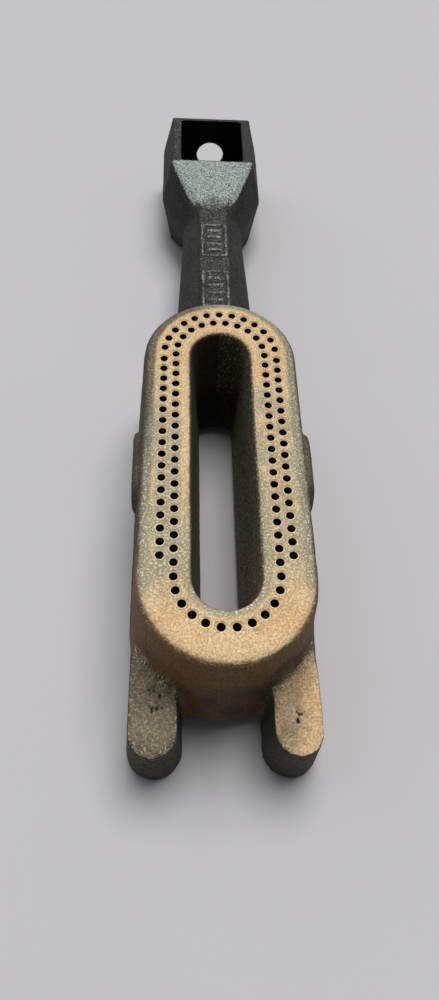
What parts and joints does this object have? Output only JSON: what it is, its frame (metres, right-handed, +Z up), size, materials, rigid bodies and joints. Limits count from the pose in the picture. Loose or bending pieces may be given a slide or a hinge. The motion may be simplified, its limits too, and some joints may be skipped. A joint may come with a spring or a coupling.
{
  "type": "cast-iron ring gas burner",
  "caption": "Cast-iron racetrack gas burner with a drilled port deck, central slot, two front feet and a venturi mixer tube",
  "frame": {"origin": "middle of the bounding box on the plane that the two feet and the mixer floor stand on", "axes": "+Z up out of the ported deck, +Y along the burner from the feet to the mixer, +X across it"},
  "size_m": [0.0648, 0.3158, 0.0508],
  "materials": {
    "ring_iron": "heat-stained sand-cast surface",
    "mixer_iron": "black sand-cast surface",
    "cover_iron": "black sand-cast surface",
    "gasket": "pressed mineral fibre",
    "screw_steel": "oxidised steel",
    "cement": "set furnace cement"
  },
  "bodies": {
    "root": {"burner_head": "ring_iron", "bottom_cover": "cover_iron", "cover_gasket": "gasket", "cover_screws": "screw_steel", "mixer_tube": "mixer_iron", "joint_cement": "cement", "set_screws": "screw_steel"}
  },
  "joints": []
}
